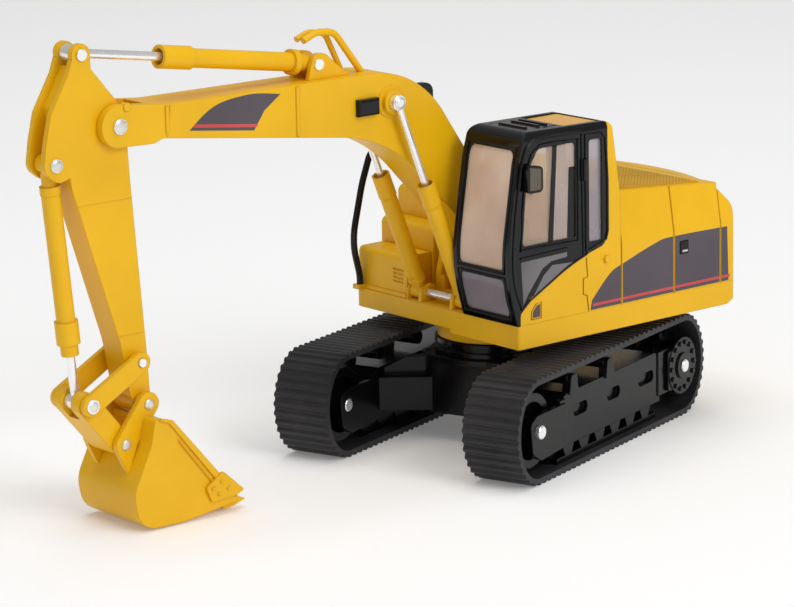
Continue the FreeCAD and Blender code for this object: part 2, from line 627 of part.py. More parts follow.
def window_cutters(grow):
    """Openings of the cab: windscreen, lower front, door, quarter, right side, rear."""
    g = grow
    mid_y = CAB_Y0 + 1.9
    end_y = CAB_Y1 - 1.9
    screen = front_plate([(mid_y - g, 43.8 - g, 1), (end_y + g, 43.8 - g, 1), (end_y + g, 69.2 + g, 1.5),
                          (mid_y - g, 69.2 + g, 1.5)], 12.0, 24.0)
    lower = front_plate([(mid_y - g, 33.4 - g, 1), (end_y + g, 33.4 - g, 1), (end_y + g, 41.8 + g, 1),
                         (mid_y - g, 41.8 + g, 1)], 15.5, 24.0)
    door = [(0.2 - g, 48.6 - g, 0.6), (15.7 + g, 48.6 - g, 1), (14.2 + g, 64.5, 4), (11.0, 69.3 + g, 2),
            (0.2 - g, 69.3 + g, 0.8)]
    quarter = [(-7.4 - g, 46.8 - g, 0.6), (-3.7 + g, 46.8 - g, 0.6), (-3.7 + g, 69.2 + g, 0.6),
               (-7.4 - g, 69.2 + g, 0.8)]
    side = [(-7.4 - g, 45.0 - g, 1), (15.9 + g, 45.0 - g, 1), (14.4 + g, 64.5, 4), (11.0, 69.3 + g, 2),
            (-7.4 - g, 69.3 + g, 1)]
    rear = front_plate([(mid_y - g, 50.0 - g, 1), (end_y + g, 50.0 - g, 1), (end_y + g, 68.6 + g, 1),
                        (mid_y - g, 68.6 + g, 1)], CAB_FOOT_REAR_X - 1, CAB_REAR_X + 3)
    return {"windscreen": screen, "lower_glass": lower,
            "door_glass": side_plate(door, CAB_Y1 - 3, CAB_Y1 + 1),
            "quarter_glass": side_plate(quarter, CAB_Y1 - 3, CAB_Y1 + 1),
            "right_glass": side_plate(side, CAB_Y0 - 1, CAB_Y0 + 3),
            "rear_glass": rear}


def yellow_region():
    """Foot of the door and rear of the cab, which are painted like the body."""
    return side_plate([(-14, 20), (16.4, 20), (16.4, 34.0, 1), (13.6, 37.2, 2), (6.4, 40.4, 8), (-2.6, 44.2, 2),
                       (-7.8, 45.6, 1.5), (-9.2, 47.5, 1.5), (-9.2, 80), (-14, 80)], CAB_Y0 - 5, CAB_Y1 + 5)


def make_cab():
    shell = cab_block(0.0).cut(cab_block(CAB_WALL))
    panes = {}
    layer = cab_block(0.35).cut(cab_block(0.95))
    cuts = window_cutters(0.0)
    seats = window_cutters(0.5)
    for name, cutter in cuts.items():
        panes[name] = layer.common(seats[name])
        shell = shell.cut(cutter)
    for name in panes:
        shell = shell.cut(panes[name])
    hatch_well = box(2.4, 12.4, CAB_Y0 + 3.4, CAB_Y1 - 3.4, CAB_TOP_Z - 3, CAB_TOP_Z + 2)
    roof_well = box(-8.8, 1.8, CAB_Y0 + 2.0, CAB_Y1 - 2.0, ROOF_WELL_Z, CAB_TOP_Z + 2)
    shell = shell.cut(hatch_well).cut(roof_well)
    region = yellow_region()
    rear = shell.common(region)
    frame = shell.cut(region)
    knob = pin_y((-8.6, 42.4), 0.8, CAB_Y1 - 0.5, CAB_Y1 + 0.7)
    return frame, fuse(rear, knob), panes


cab_frame, cab_rear, cab_panes = make_cab()
export(cab_frame, "cab_frame")
export(cab_rear, "cab_rear")
for pane_name, pane in cab_panes.items():
    export(pane, pane_name)


def make_roof_hatch():
    plate = box(2.5, 12.3, CAB_Y0 + 3.5, CAB_Y1 - 3.5, CAB_TOP_Z - 1.3, CAB_TOP_Z - 0.1)
    return plate.makeFillet(0.5, [e for e in plate.Edges if abs(e.BoundBox.ZLength) > 1.0])


def make_roof_panel():
    return box(-8.7, 1.7, CAB_Y0 + 2.1, CAB_Y1 - 2.1, ROOF_WELL_Z + 0.03, ROOF_WELL_Z + 0.35)


def make_seat():
    mid = (CAB_Y0 + CAB_Y1) / 2
    base = box(-3.0, 3.5, mid - 2.6, mid + 2.6, DECK_Z1 + 1.2, 39.5)
    cushion = side_plate([(-4.2, 39.5, 0.8), (5.2, 39.5, 0.8), (5.6, 42.2, 1.2), (-4.2, 42.0, 0.8)],
                         mid - 4.0, mid + 4.0)
    back = side_plate([(-4.4, 41.0, 0.8), (-2.0, 41.0, 0.8), (-4.2, 57.5, 0.8), (-6.4, 57.5, 0.8)],
                      mid - 3.6, mid + 3.6)
    rest = side_plate([(-6.0, 55.5), (-4.6, 55.5), (-4.9, 62.0, 0.6), (-6.6, 62.0, 0.6)], mid - 2.2, mid + 2.2)
    return fuse(base, cushion, back, rest, box(-4, 4.5, mid - 4.6, mid + 4.6, DECK_Z1, DECK_Z1 + 1.3))


def make_console():
    """Two side consoles with their joysticks."""
    mid = (CAB_Y0 + CAB_Y1) / 2
    solids = []
    for side in (1, -1):
        y = mid + side * 5.7
        arm = box(-1.0, 7.5, y - 1.1, y + 1.1, DECK_Z1, 44.0)
        stick = Part.makeCylinder(0.4, 4.0, V(6.2, y, 43.5))
        knob = Part.makeSphere(0.9, V(6.2, y, 48.0))
        solids.append(fuse(arm, stick, knob))
    return Part.makeCompound(solids)


def make_mirror_left():
    head = side_plate([(11.5, 60.4, 1.0), (15.8, 60.4, 1.0), (15.8, 66.6, 1.2), (11.5, 65.9, 1.2)],
                      CAB_Y1 + 0.9, CAB_Y1 + 2.1)
    arm = box(14.0, 15.2, CAB_Y1 - 0.0, CAB_Y1 + 1.6, 64.4, 65.2)
    return fuse(head, arm)


def make_door_handle():
    grip = box(-2.6, -1.6, CAB_Y1, CAB_Y1 + 0.9, 60.6, 65.4)
    return grip.makeFillet(0.4, [e for e in grip.Edges if e.BoundBox.YMin > CAB_Y1 + 0.5])


export(make_roof_hatch(), "roof_hatch")
export(make_roof_panel(), "roof_panel")
export(make_seat(), "seat")
export(make_console(), "console")
export(make_mirror_left(), "mirror_left")
export(make_door_handle(), "door_handle")


# ======================= boom =======================

BOOM_OUTLINE = [(6.0, 42.9), (33.5, 71.8, 35), (92.6, 79.5, 2), (95.0, 78.7, 2), (103.8, 79.0), (103.8, 87.6),
                (99.0, 87.2, 4), (91.0, 86.4, 20), (25.3, 86.0, 24), (-0.2, 48.6)]


def make_boom():
    beam = side_plate(BOOM_OUTLINE, -BOOM_HALF, BOOM_HALF)
    foot = pin_y(BOOM_FOOT, 4.2, -BOOM_HALF, BOOM_HALF)
    nose = pin_y(BOOM_NOSE, 4.35, -BOOM_HALF, BOOM_HALF)
    parts = [foot, nose]
    for side in (1, -1):
        y0, y1 = sorted((side * BOOM_HALF, side * (LIFT_Y - 0.85)))
        parts.append(pin_y(LIFT_HEAD, 2.6, y0, y1))
        y2, y3 = sorted((side * BOOM_HALF, side * (BOOM_HALF + 0.3)))
        parts.append(pin_y(LIFT_HEAD, 3.5, y2, y3))
        parts.append(box(91.2, 92.0, y2, y3, 80.6, 86.0))
        parts.append(box(57.6, 58.4, y2, y3, 75.4, 85.8))
        parts.append(pin_y((101.4, 87.0), 0.9, min(y0, side * 4.0), max(y3, side * 4.0)))
    body = fuse(beam, *parts)
    slot = pin_y(BOOM_NOSE, 8.2, -STICK_HALF - CYL_GAP, STICK_HALF + CYL_GAP)
    body = body.cut(slot)
    body = body.cut(pin_y(BOOM_FOOT, 1.6 + RUN_FIT, -20, 20))
    body = body.cut(pin_y(LIFT_HEAD, 0.9, -20, 20))
    return body.cut(pin_y(BOOM_NOSE, 1.3, -20, 20))


def make_crowd_mount():
    """Pair of lugs on the boom top for the stick cylinder."""
    top = 86.0
    lug = [(42.4, top), (53.4, top), (52.6, 89.0, 1.5), (51.5, 91.8, 1.8), (48.6, 91.4, 1.8)]
    left = side_plate(lug, 2.15, 3.2)
    right = side_plate(lug, -3.2, -2.15)
    pad = box(42.4, 47.6, -3.2, 3.2, top, top + 0.9)
    body = fuse(left, right, pad)
    return body.cut(pin_y(CROWD_FOOT, 0.9, -10, 10))


def make_boom_lamp():
    near = box(36.8, 42.4, BOOM_HALF, BOOM_HALF + 1.5, 77.4, 81.0)
    near = near.makeFillet(0.6, [e for e in near.Edges if e.BoundBox.YMin > BOOM_HALF + 1.0])
    far = near.mirror(V(0, 0, 0), V(0, 1, 0))
    return Part.makeCompound([near, far])


def make_boom_hoses():
    """Moulded hose loops from the stick cylinder's foot down to the boom."""
    main = bent_tube([(52.9, 94.3), (49.4, 95.7, 5.0), (44.6, 95.3, 4.0), (37.4, 86.0)], 1.1, 0.75)
    branch = bent_tube([(52.9, 94.3), (49.8, 95.5, 4.0), (45.2, 94.9, 3.0), (41.2, 86.9)], -1.2, 0.65)
    return Part.makeCompound([main, branch])


def rod_piece(foot, head, y, length, rod_r, eye_r, eye_half, pin_r):
    """Chrome rod with its eye at the head pin, reaching back towards the foot."""
    total = math.hypot(head[0] - foot[0], head[1] - foot[1])
    shaft = barrel_section(foot, head, y, total - length, total - eye_r * 0.6, rod_r)
    eye = pin_y(head, eye_r, y - eye_half, y + eye_half)
    return fuse(shaft, eye).cut(pin_y(head, pin_r + RUN_FIT, y - 5, y + 5))


def barrel_piece(foot, head, y, spec):
    """Cylinder barrel: eye, end cap, tube, gland; bored open from the gland end."""
    eye = pin_y(foot, spec["eye_r"], y - spec["eye_half"], y + spec["eye_half"])
    start = spec["cap0"]
    neck = barrel_section(foot, head, y, 0.6 * spec["eye_r"], start + 0.5, spec["eye_half"] - 0.15)
    cap = barrel_section(foot, head, y, start, spec["cap1"], spec["cap_r"])
    tube = barrel_section(foot, head, y, start, spec["gland1"], spec["tube_r"])
    gland = barrel_section(foot, head, y, spec["gland0"], spec["gland1"], spec["gland_r"])
    parts = [neck, cap, tube, gland]
    if "collar1" in spec:
        parts.append(barrel_section(foot, head, y, spec["gland1"] - 0.5, spec["collar1"], spec["collar_r"]))
    body = fuse(eye, *parts)
    mouth = spec.get("collar1", spec["gland1"]) + 1.0
    body = body.cut(barrel_section(foot, head, y, spec["cap1"] + 0.8, mouth, spec["bore_r"]))
    return body.cut(pin_y(foot, spec["pin_r"] + RUN_FIT, y - 6, y + 6))


LIFT_SPEC = {"eye_r": 1.75, "eye_half": 1.6, "cap0": 2.6, "cap1": 4.0, "cap_r": 1.95, "tube_r": 1.85,
             "gland0": 24.2, "gland1": 29.6, "gland_r": 2.0, "bore_r": 1.62, "pin_r": 0.9}
CROWD_SPEC = {"eye_r": 1.9, "eye_half": 2.0, "cap0": 3.9, "cap1": 5.4, "cap_r": 2.7, "tube_r": 2.0,
              "gland0": 31.6, "gland1": 39.4, "gland_r": 2.45, "bore_r": 1.72, "pin_r": 0.9}
CURL_SPEC = {"eye_r": 1.9, "eye_half": 1.7, "cap0": 4.5, "cap1": 6.3, "cap_r": 2.1, "tube_r": 1.95,
             "gland0": 32.6, "gland1": 37.4, "gland_r": 2.45, "bore_r": 1.6, "pin_r": 0.9,
             "collar1": 39.8, "collar_r": 1.85}

boom = make_boom()
export(boom, "boom")
export(make_crowd_mount().cut(boom), "crowd_mount")
export(make_boom_lamp(), "boom_lamps")
export(make_boom_hoses().cut(boom), "boom_hoses")
export(Part.makeCompound([headed_pin(BOOM_NOSE, 1.3, 1.6, BOOM_HALF, 0.5),
                          pin_y(LIFT_HEAD, 0.9, -LIFT_Y - 1.2, LIFT_Y + 1.2),
                          headed_pin(CROWD_FOOT, 0.9, 1.2, 3.2, 0.4)]), "boom_pins")
for side_name, side_sign in (("left", 1), ("right", -1)):
    lift_y = side_sign * LIFT_Y
    export(barrel_piece(LIFT_FOOT, LIFT_HEAD, lift_y, LIFT_SPEC), "lift_barrel_" + side_name)
    export(rod_piece(LIFT_FOOT, LIFT_HEAD, lift_y, 26.0, 0.78, 1.7, 0.75, 0.9), "lift_rod_" + side_name)
export(barrel_piece(CROWD_FOOT, CROWD_HEAD, 0.0, CROWD_SPEC), "crowd_barrel")
export(rod_piece(CROWD_FOOT, CROWD_HEAD, 0.0, 30.0, 0.97, 1.75, 1.75, 0.9), "crowd_rod")


# ======================= stick =======================

STICK_CORE = [(109.0, 96.0), (112.0, 96.0), (116.7, 88.0, 1.0), (115.6, 82.8, 6), (114.0, 71.6, 8), (103.5, 38.1, 20),
              (101.6, 27.0), (98.0, 23.5), (96.7, 26.5), (97.1, 34.9, 40), (99.8, 71.6, 40), (100.2, 79.4, 3),
              (99.3, 83.3, 3), (101.4, 86.9, 2), (104.4, 90.5, 4)]
STICK_CHEEK = [(108.4, 95.0), (108.6, 98.8), (112.9, 97.6), (114.0, 94.6, 2), (118.4, 87.2, 1.5),
               (119.8, 81.4, 4), (120.6, 76.0, 2.5), (117.2, 73.2, 2.5), (112.6, 74.6), (105.5, 88.0),
               (106.2, 91.0)]


def make_stick():
    core = side_plate(STICK_CORE, -STICK_HALF, STICK_HALF)
    tip = pin_y(BUCKET_PIN, 2.25, -STICK_HALF, STICK_HALF)
    cheeks = []
    for side in (1, -1):
        y0, y1 = sorted((side * 1.9, side * STICK_HALF))
        cheeks.append(side_plate(STICK_CHEEK, y0, y1))
        cheeks.append(pin_y(CROWD_HEAD, 2.2, y0, y1))
        y2, y3 = sorted((side * STICK_HALF, side * (STICK_HALF + 0.25)))
        cheeks.append(pin_y(CROWD_HEAD, 1.2, y2, y3))
    body = fuse(core, tip, *cheeks)
    body = body.cut(pin_y(CROWD_HEAD, 2.6, -1.9, 1.9))
    body = body.cut(pin_y(CURL_FOOT, 2.5, -1.9, 1.9))
    body = body.cut(pin_y(BOOM_NOSE, 1.3 + RUN_FIT, -10, 10))
    for centre in (CROWD_HEAD, CURL_FOOT):
        body = body.cut(pin_y(centre, 0.9, -10, 10))
    body = body.cut(pin_y(LINK_STICK, 0.9, -10, 10))
    return body.cut(pin_y(BUCKET_PIN, 1.0, -10, 10))


def make_side_link(side):
    """Flat bar from the stick to the rod pin, with a spacer boss at the stick."""
    y0, y1 = sorted((side * (EAR_Y0 + 0.05), side * (EAR_Y1 - 0.1)))
    bar = boss_hull(LINK_STICK, 2.1, LINK_ROD, 2.2, y0, y1)
    y2, y3 = sorted((side * (STICK_HALF + 0.1), side * (EAR_Y0 + 0.1)))
    body = fuse(bar, pin_y(LINK_STICK, 1.7, y2, y3))
    body = body.cut(pin_y(LINK_STICK, 0.9 + RUN_FIT, -10, 10))
    return body.cut(pin_y(LINK_ROD, 0.9, -10, 10))


POWER_HALF = 4.4
ROD_EYE_HALF = 1.6
OPEN_PIVOT_GAP = 0.75


def make_power_link():
    """Block from the rod pin to the bucket, forked at both ends."""
    body = boss_hull(LINK_ROD, 2.5, BUCKET_LINK, 2.35, -POWER_HALF, POWER_HALF)
    fork = fuse(pin_y(LINK_ROD, 3.4, -ROD_EYE_HALF - 0.15, ROD_EYE_HALF + 0.15),
                box(LINK_ROD[0] - 3.4, LINK_ROD[0] + 5.0, -ROD_EYE_HALF - 0.15, ROD_EYE_HALF + 0.15, LINK_ROD[1],
                    LINK_ROD[1] + 6.0))
    body = body.cut(fork)
    body = body.cut(pin_y(LINK_ROD, 0.9 + RUN_FIT, -10, 10))
    return body.cut(pin_y(BUCKET_LINK, 0.9 + OPEN_PIVOT_GAP, -10, 10))


export(make_stick(), "stick")
export(Part.makeCompound([headed_pin(CROWD_HEAD, 0.9, 1.2, STICK_HALF + 0.25, 0.3),
                          headed_pin(CURL_FOOT, 0.9, 1.4, STICK_HALF, 0.4),
                          pin_y(LINK_STICK, 0.9, -EAR_Y1 - 0.4, EAR_Y1 + 0.4)]), "stick_pins")
export(barrel_piece(CURL_FOOT, LINK_ROD, 0.0, CURL_SPEC), "curl_barrel")
export(rod_piece(CURL_FOOT, LINK_ROD, 0.0, 24.0, 0.93, 1.75, ROD_EYE_HALF, 0.9), "curl_rod")
export(Part.makeCompound([make_side_link(1), make_side_link(-1)]), "side_links")
export(headed_pin(LINK_ROD, 0.9, 1.5, EAR_Y1 - 0.1, 0.5), "rod_pin")
export(make_power_link(), "power_link")


# ======================= bucket =======================

BUCKET_OUTER = [(96.8, 22.3), (100.5, 23.4, 1.0), (101.6, 18.0, 9), (106.4, 8.4, 6.5), (104.9, 0.5, 5.2),
                (93.5, 0.5, 12), (79.9, 2.2)]
BUCKET_INNER = [(80.4, 3.2), (93.7, 1.5, 11), (104.1, 1.5, 4.3), (105.3, 8.3, 5.5), (100.6, 17.8, 10), (99.6, 22.2, 0.4),
                (97.2, 21.4)]
MOUTH = [(84.6, 7.0, 1.5), (96.2, 21.6, 1.5)]


def make_bucket():
    wall = side_plate(BUCKET_OUTER + BUCKET_INNER, -BUCKET_HALF, BUCKET_HALF)
    outline = BUCKET_OUTER + MOUTH
    parts = [wall]
    for side in (1, -1):
        y0, y1 = sorted((side * (BUCKET_HALF - 1.0), side * BUCKET_HALF))
        parts.append(side_plate(outline, y0, y1))
        y2, y3 = sorted((side * EAR_Y0, side * EAR_Y1))
        ear = boss_hull(BUCKET_PIN, 2.5, BUCKET_LINK, 2.4, y2, y3)
        root = side_plate([(97.2, 23.6, 0.6), (100.0, 22.6), (104.6, 11.8), (107.2, 16.8, 1.5), (104.0, 20.5), (98, 25)],
                          y2, y3)
        parts.extend([ear, root])
        y4, y5 = sorted((side * BUCKET_HALF, side * (BUCKET_HALF + 0.4)))
        parts.append(side_plate([(84.3, 8.4), (85.4, 7.4), (97.2, 21.9), (99.6, 22.9), (99.3, 23.4), (96.4, 22.5)],
                                y4, y5))
        y6, y7 = sorted((side * (STICK_HALF + 0.1), side * (EAR_Y0 + 0.1)))
        parts.append(pin_y(BUCKET_PIN, 1.9, y6, y7))
    body = fuse(parts[0], *parts[1:])
    clear = pin_y(BUCKET_PIN, 2.25 + 0.25, -STICK_HALF - 0.1, STICK_HALF + 0.1)
    body = body.cut(clear)
    body = body.cut(pin_y(BUCKET_PIN, 1.0 + RUN_FIT, -9, 9))
    return body.cut(pin_y(BUCKET_LINK, 0.9, -9, 9))


def make_side_cutter(side):
    y0, y1 = sorted((side * (BUCKET_HALF + 0.02), side * (BUCKET_HALF + 0.7)))
    plate = side_plate([(88.6, 6.6, 0.6), (84.2, 9.4, 0.6), (78.9, 4.6, 0.3), (81.0, 3.6), (87.2, 3.4, 0.6)], y0, y1)
    y2, y3 = sorted((side * (BUCKET_HALF + 0.6), side * (BUCKET_HALF + 1.0)))
    bolts = [pin_y(spot, 0.42, y2, y3) for spot in ((86.9, 6.2), (84.7, 7.4), (85.4, 4.8), (83.0, 5.6))]
    return fuse(plate, *bolts)


def make_teeth():
    teeth = []
    for k in range(5):
        y = -8.2 + 4.1 * k
        tooth = side_plate([(77.4, 1.9), (80.6, 0.9), (83.2, 0.75), (83.4, 1.55), (80.35, 2.1), (80.2, 2.15),
                            (80.0, 3.3), (78.8, 2.6)], y - 0.8, y + 0.8)
        teeth.append(tooth)
    return teeth


bucket = make_bucket()
teeth = [tooth.cut(bucket) for tooth in make_teeth()]
export(bucket, "bucket")
export(Part.makeCompound(teeth), "bucket_teeth")
export(Part.makeCompound([make_side_cutter(side).cut(bucket) for side in (1, -1)]), "side_cutters")
export(Part.makeCompound([pin_y(BUCKET_PIN, 1.0, -EAR_Y1 - 0.4, EAR_Y1 + 0.4),
                          pin_y(BUCKET_LINK, 0.9, -EAR_Y1 - 0.4, EAR_Y1 + 0.4)]), "bucket_pins")
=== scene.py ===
import json
import math

import bmesh
import bpy
from mathutils import Matrix, Vector
from mathutils.bvhtree import BVHTree


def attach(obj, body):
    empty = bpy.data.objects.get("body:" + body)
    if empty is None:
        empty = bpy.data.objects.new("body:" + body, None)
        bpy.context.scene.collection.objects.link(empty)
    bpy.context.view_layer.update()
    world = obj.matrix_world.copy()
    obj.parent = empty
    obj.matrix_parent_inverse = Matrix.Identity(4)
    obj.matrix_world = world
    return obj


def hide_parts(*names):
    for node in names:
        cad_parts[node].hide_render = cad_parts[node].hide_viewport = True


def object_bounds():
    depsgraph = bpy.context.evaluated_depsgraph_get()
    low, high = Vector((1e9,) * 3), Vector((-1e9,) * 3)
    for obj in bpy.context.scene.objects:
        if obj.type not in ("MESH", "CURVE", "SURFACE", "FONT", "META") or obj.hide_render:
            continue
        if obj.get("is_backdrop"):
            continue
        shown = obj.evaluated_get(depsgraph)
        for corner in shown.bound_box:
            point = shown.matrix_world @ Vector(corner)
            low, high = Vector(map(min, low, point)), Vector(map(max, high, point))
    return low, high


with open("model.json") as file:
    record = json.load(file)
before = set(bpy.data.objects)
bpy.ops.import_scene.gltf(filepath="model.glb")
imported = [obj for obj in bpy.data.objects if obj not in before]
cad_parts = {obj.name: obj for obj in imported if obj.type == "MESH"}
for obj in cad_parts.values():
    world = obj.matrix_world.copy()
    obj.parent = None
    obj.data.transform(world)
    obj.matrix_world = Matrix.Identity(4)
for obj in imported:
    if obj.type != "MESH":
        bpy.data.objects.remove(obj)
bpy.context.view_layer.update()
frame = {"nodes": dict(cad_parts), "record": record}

MM = 0.001
SIDE_Y = 27.4      # half width of the house
BOOM_Y = 5.2       # half width of the boom
STICK_Y = 3.25     # half width of the stick
CAB_Y0 = 9.75      # inner side of the cab
CAB_Y1 = 27.4      # outer side of the cab
CAB_TOP_Z = 73.0
DECK_TOP_Z = 31.5


# ---------------------------------------------------------------- materials

def srgb(r, g, b):
    def lin(v):
        v /= 255.0
        return v / 12.92 if v <= 0.04045 else ((v + 0.055) / 1.055) ** 2.4
    return (lin(r), lin(g), lin(b), 1.0)


def shade(colour, k):
    return (colour[0] * k, colour[1] * k, colour[2] * k, 1.0)


def material(name, dark, light, rough, tone_scale=60.0, grain_scale=900.0, grain=0.08, metallic=0.0, coat=0.0,
             coat_rough=0.1, edge_mm=0.25, specular=0.5, alpha=1.0, patch=None):
    """Principled finish whose colour, roughness and surface grain vary over the piece."""
    mat = bpy.data.materials.new(name)
    mat.use_nodes = True
    nodes, links = mat.node_tree.nodes, mat.node_tree.links
    shader = nodes["Principled BSDF"]
    shader.inputs["Metallic"].default_value = metallic
    shader.inputs["Coat Weight"].default_value = coat
    shader.inputs["Coat Roughness"].default_value = coat_rough
    shader.inputs["Specular IOR Level"].default_value = specular
    shader.inputs["Alpha"].default_value = alpha
    place = nodes.new("ShaderNodeTexCoord")
    tone = nodes.new("ShaderNodeTexNoise")
    tone.inputs["Scale"].default_value = tone_scale
    tone.inputs["Detail"].default_value = 4.0
    ramp = nodes.new("ShaderNodeValToRGB")
    ramp.color_ramp.elements[0].position = 0.3
    ramp.color_ramp.elements[1].position = 0.7
    ramp.color_ramp.elements[0].color = dark
    ramp.color_ramp.elements[1].color = light
    links.new(place.outputs["Object"], tone.inputs["Vector"])
    links.new(tone.outputs["Fac"], ramp.inputs["Fac"])
    links.new(ramp.outputs["Color"], shader.inputs["Base Color"])
    fine = nodes.new("ShaderNodeTexNoise")
    fine.inputs["Scale"].default_value = grain_scale
    fine.inputs["Detail"].default_value = 3.0
    links.new(place.outputs["Object"], fine.inputs["Vector"])
    spread = nodes.new("ShaderNodeMapRange")
    spread.inputs["To Min"].default_value = rough - 0.06
    spread.inputs["To Max"].default_value = rough + 0.06
    links.new(fine.outputs["Fac"], spread.inputs["Value"])
    links.new(spread.outputs["Result"], shader.inputs["Roughness"])
    bump = nodes.new("ShaderNodeBump")
    bump.inputs["Strength"].default_value = grain
    bump.inputs["Distance"].default_value = 0.0002
    links.new(fine.outputs["Fac"], bump.inputs["Height"])
    if edge_mm > 0.0:
        soft = nodes.new("ShaderNodeBevel")
        soft.samples = 4
        soft.inputs["Radius"].default_value = edge_mm * MM
        links.new(soft.outputs["Normal"], bump.inputs["Normal"])
    links.new(bump.outputs["Normal"], shader.inputs["Normal"])
    return mat


YELLOW = srgb(238, 183, 8)
paint = material("yellow_enamel", shade(YELLOW, 0.9), YELLOW, 0.4, coat=0.08, coat_rough=0.2, edge_mm=0.35,
                 specular=0.28)
# The grille copy of the yellow enamel is darker (0.62 to 0.78 of it): painted shade on the perforated hood
# top.
grille_paint = material("yellow_enamel_grille_painted_shade", shade(YELLOW, 0.62), shade(YELLOW, 0.78), 0.45, edge_mm=0.0,
                        specular=0.25)
moulded = material("moulded_black", srgb(5, 5, 7), srgb(11, 11, 13), 0.2, edge_mm=0.3, specular=0.22)
gloss = material("gloss_black", srgb(6, 7, 9), srgb(12, 13, 15), 0.14, edge_mm=0.35, specular=0.3)
rubber = material("track_rubber", srgb(34, 34, 37), srgb(56, 55, 58), 0.46, grain=0.3, edge_mm=0.12,
                  specular=0.25)
plated = material("bright_plate", srgb(238, 238, 239), srgb(252, 252, 252), 0.26, metallic=0.85, grain=0.03)
pin_metal = material("pin_metal", srgb(214, 212, 208), srgb(240, 238, 234), 0.34, metallic=0.7, grain=0.05)
panel = material("dark_panel", srgb(84, 78, 84), srgb(92, 86, 92), 0.42, grain=0.05, edge_mm=0.0,
                 specular=0.15)
stripe = material("red_stripe", srgb(196, 74, 76), srgb(208, 88, 88), 0.42, grain=0.05, edge_mm=0.0,
                  specular=0.15)
# Dark amber for the door and vent seams: painted shade in their grooves.
seam_shade_tone = material("seam_painted_shade", srgb(122, 78, 8), srgb(146, 94, 12), 0.6, edge_mm=0.0, specular=0.1)
weld_paint = material("yellow_weld", shade(YELLOW, 0.8), shade(YELLOW, 0.95), 0.36, coat=0.1, grain=0.2,
                      edge_mm=0.0, specular=0.35)
tan = material("interior_tan", srgb(190, 156, 130), srgb(210, 178, 150), 0.6, grain=0.25, edge_mm=0.5,
               specular=0.2)
seat_cloth = material("seat_mauve", srgb(140, 112, 100), srgb(168, 138, 122), 0.75, grain_scale=2600.0,
                      grain=0.4, specular=0.15)
roof_tan = material("roof_panel_tan", srgb(222, 166, 78), srgb(232, 180, 94), 0.42, coat=0.1, specular=0.3)


def pane_material(name, low, high, alpha):
    return material(name, low, high, 0.1, grain=0.02, edge_mm=0.0, alpha=alpha, specular=0.4)


clear = pane_material("clear_pane", srgb(212, 188, 166), srgb(232, 208, 186), 0.34)
# Pale tint at 0.74 opacity on the windscreen: painted reflection on the glass.
windscreen_reflection_pane = pane_material("windscreen_reflection_pane", srgb(214, 184, 162), srgb(242, 220, 202), 0.74)
foot_pane = pane_material("foot_pane", srgb(138, 130, 138), srgb(162, 154, 162), 0.74)
smoked = pane_material("smoked_hatch", srgb(38, 38, 42), srgb(58, 57, 61), 0.94)
cool_pane = pane_material("cool_pane", srgb(168, 160, 168), srgb(192, 184, 190), 0.42)

FINISH = {"yellow_paint": paint, "grille_paint": grille_paint, "black_plastic": moulded, "black_gloss": gloss,
          "track_rubber": rubber, "bright_metal": plated, "clear_glass": clear, "interior_tan": tan}
for row in frame["record"]["subparts"]:
    obj = frame["nodes"][row["node"]]
    obj.data.materials.clear()
    obj.data.materials.append(FINISH[row["material_slot"]])
frame["nodes"]["roof_panel"].data.materials[0] = roof_tan
frame["nodes"]["windscreen"].data.materials[0] = windscreen_reflection_pane
frame["nodes"]["lower_glass"].data.materials[0] = foot_pane
frame["nodes"]["quarter_glass"].data.materials[0] = cool_pane
frame["nodes"]["roof_hatch"].data.materials[0] = smoked


# ---------------------------------------------------------------- mesh helpers

def finish_mesh(name, bm, mat, body, round_mm=0.0, segments=2, smooth=True):
    """Turns a bmesh in millimetres into a finished piece that rides on a body."""
    bmesh.ops.recalc_face_normals(bm, faces=bm.faces)
    if round_mm > 0.0:
        sharp = [e for e in bm.edges if len(e.link_faces) == 2 and e.calc_face_angle(0.0) > 0.6]
        bmesh.ops.bevel(bm, geom=sharp, offset=round_mm, segments=segments, affect="EDGES",
                        clamp_overlap=True)
    bmesh.ops.scale(bm, vec=(MM, MM, MM), verts=bm.verts)
    mesh = bpy.data.meshes.new(name)
    bm.to_mesh(mesh)
    bm.free()
    if smooth:
        mesh.shade_smooth()
        mesh.set_sharp_from_angle(angle=math.radians(40))
    mesh.materials.append(mat)
    obj = bpy.data.objects.new(name, mesh)
    bpy.context.scene.collection.objects.link(obj)
    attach(obj, body)
    return obj


def add_prism(bm, outline, low, high, place):
    """Closed outline swept between two depths. place(a, b, depth) gives the point."""
    rings = []
    for depth in (low, high):
        rings.append([bm.verts.new(place(a, b, depth)) for a, b in outline])
    bm.faces.new(rings[0])
    bm.faces.new(list(reversed(rings[1])))
    count = len(outline)
    for i in range(count):
        j = (i + 1) % count
        bm.faces.new((rings[0][i], rings[0][j], rings[1][j], rings[1][i]))


def on_side(a, b, depth):
    return (a, depth, b)


def add_box(bm, x0, x1, y0, y1, z0, z1):
    add_prism(bm, [(x0, z0), (x1, z0), (x1, z1), (x0, z1)], y0, y1, on_side)


def add_disc(bm, centre, y0, y1, radius, sides=32, dome=0.0):
    """Round head on a pin along Y. A dome raises the middle of the face at y1."""
    out = 1.0 if y1 > y0 else -1.0
    turns = [2 * math.pi * k / sides for k in range(sides)]
    rings = []
    for y, r in ((y0, radius), (y1 - out * dome, radius), (y1 - out * dome * 0.35, radius * 0.86),
                 (y1, radius * 0.5)):
        circle = [(centre[0] + r * math.cos(a), centre[1] + r * math.sin(a)) for a in turns]
        rings.append([bm.verts.new((x, y, z)) for x, z in circle])
    for lower, upper in zip(rings, rings[1:]):
        for k in range(sides):
            n = (k + 1) % sides
            bm.faces.new((lower[k], lower[n], upper[n], upper[k]))
    bm.faces.new(rings[0])
    bm.faces.new(rings[-1])


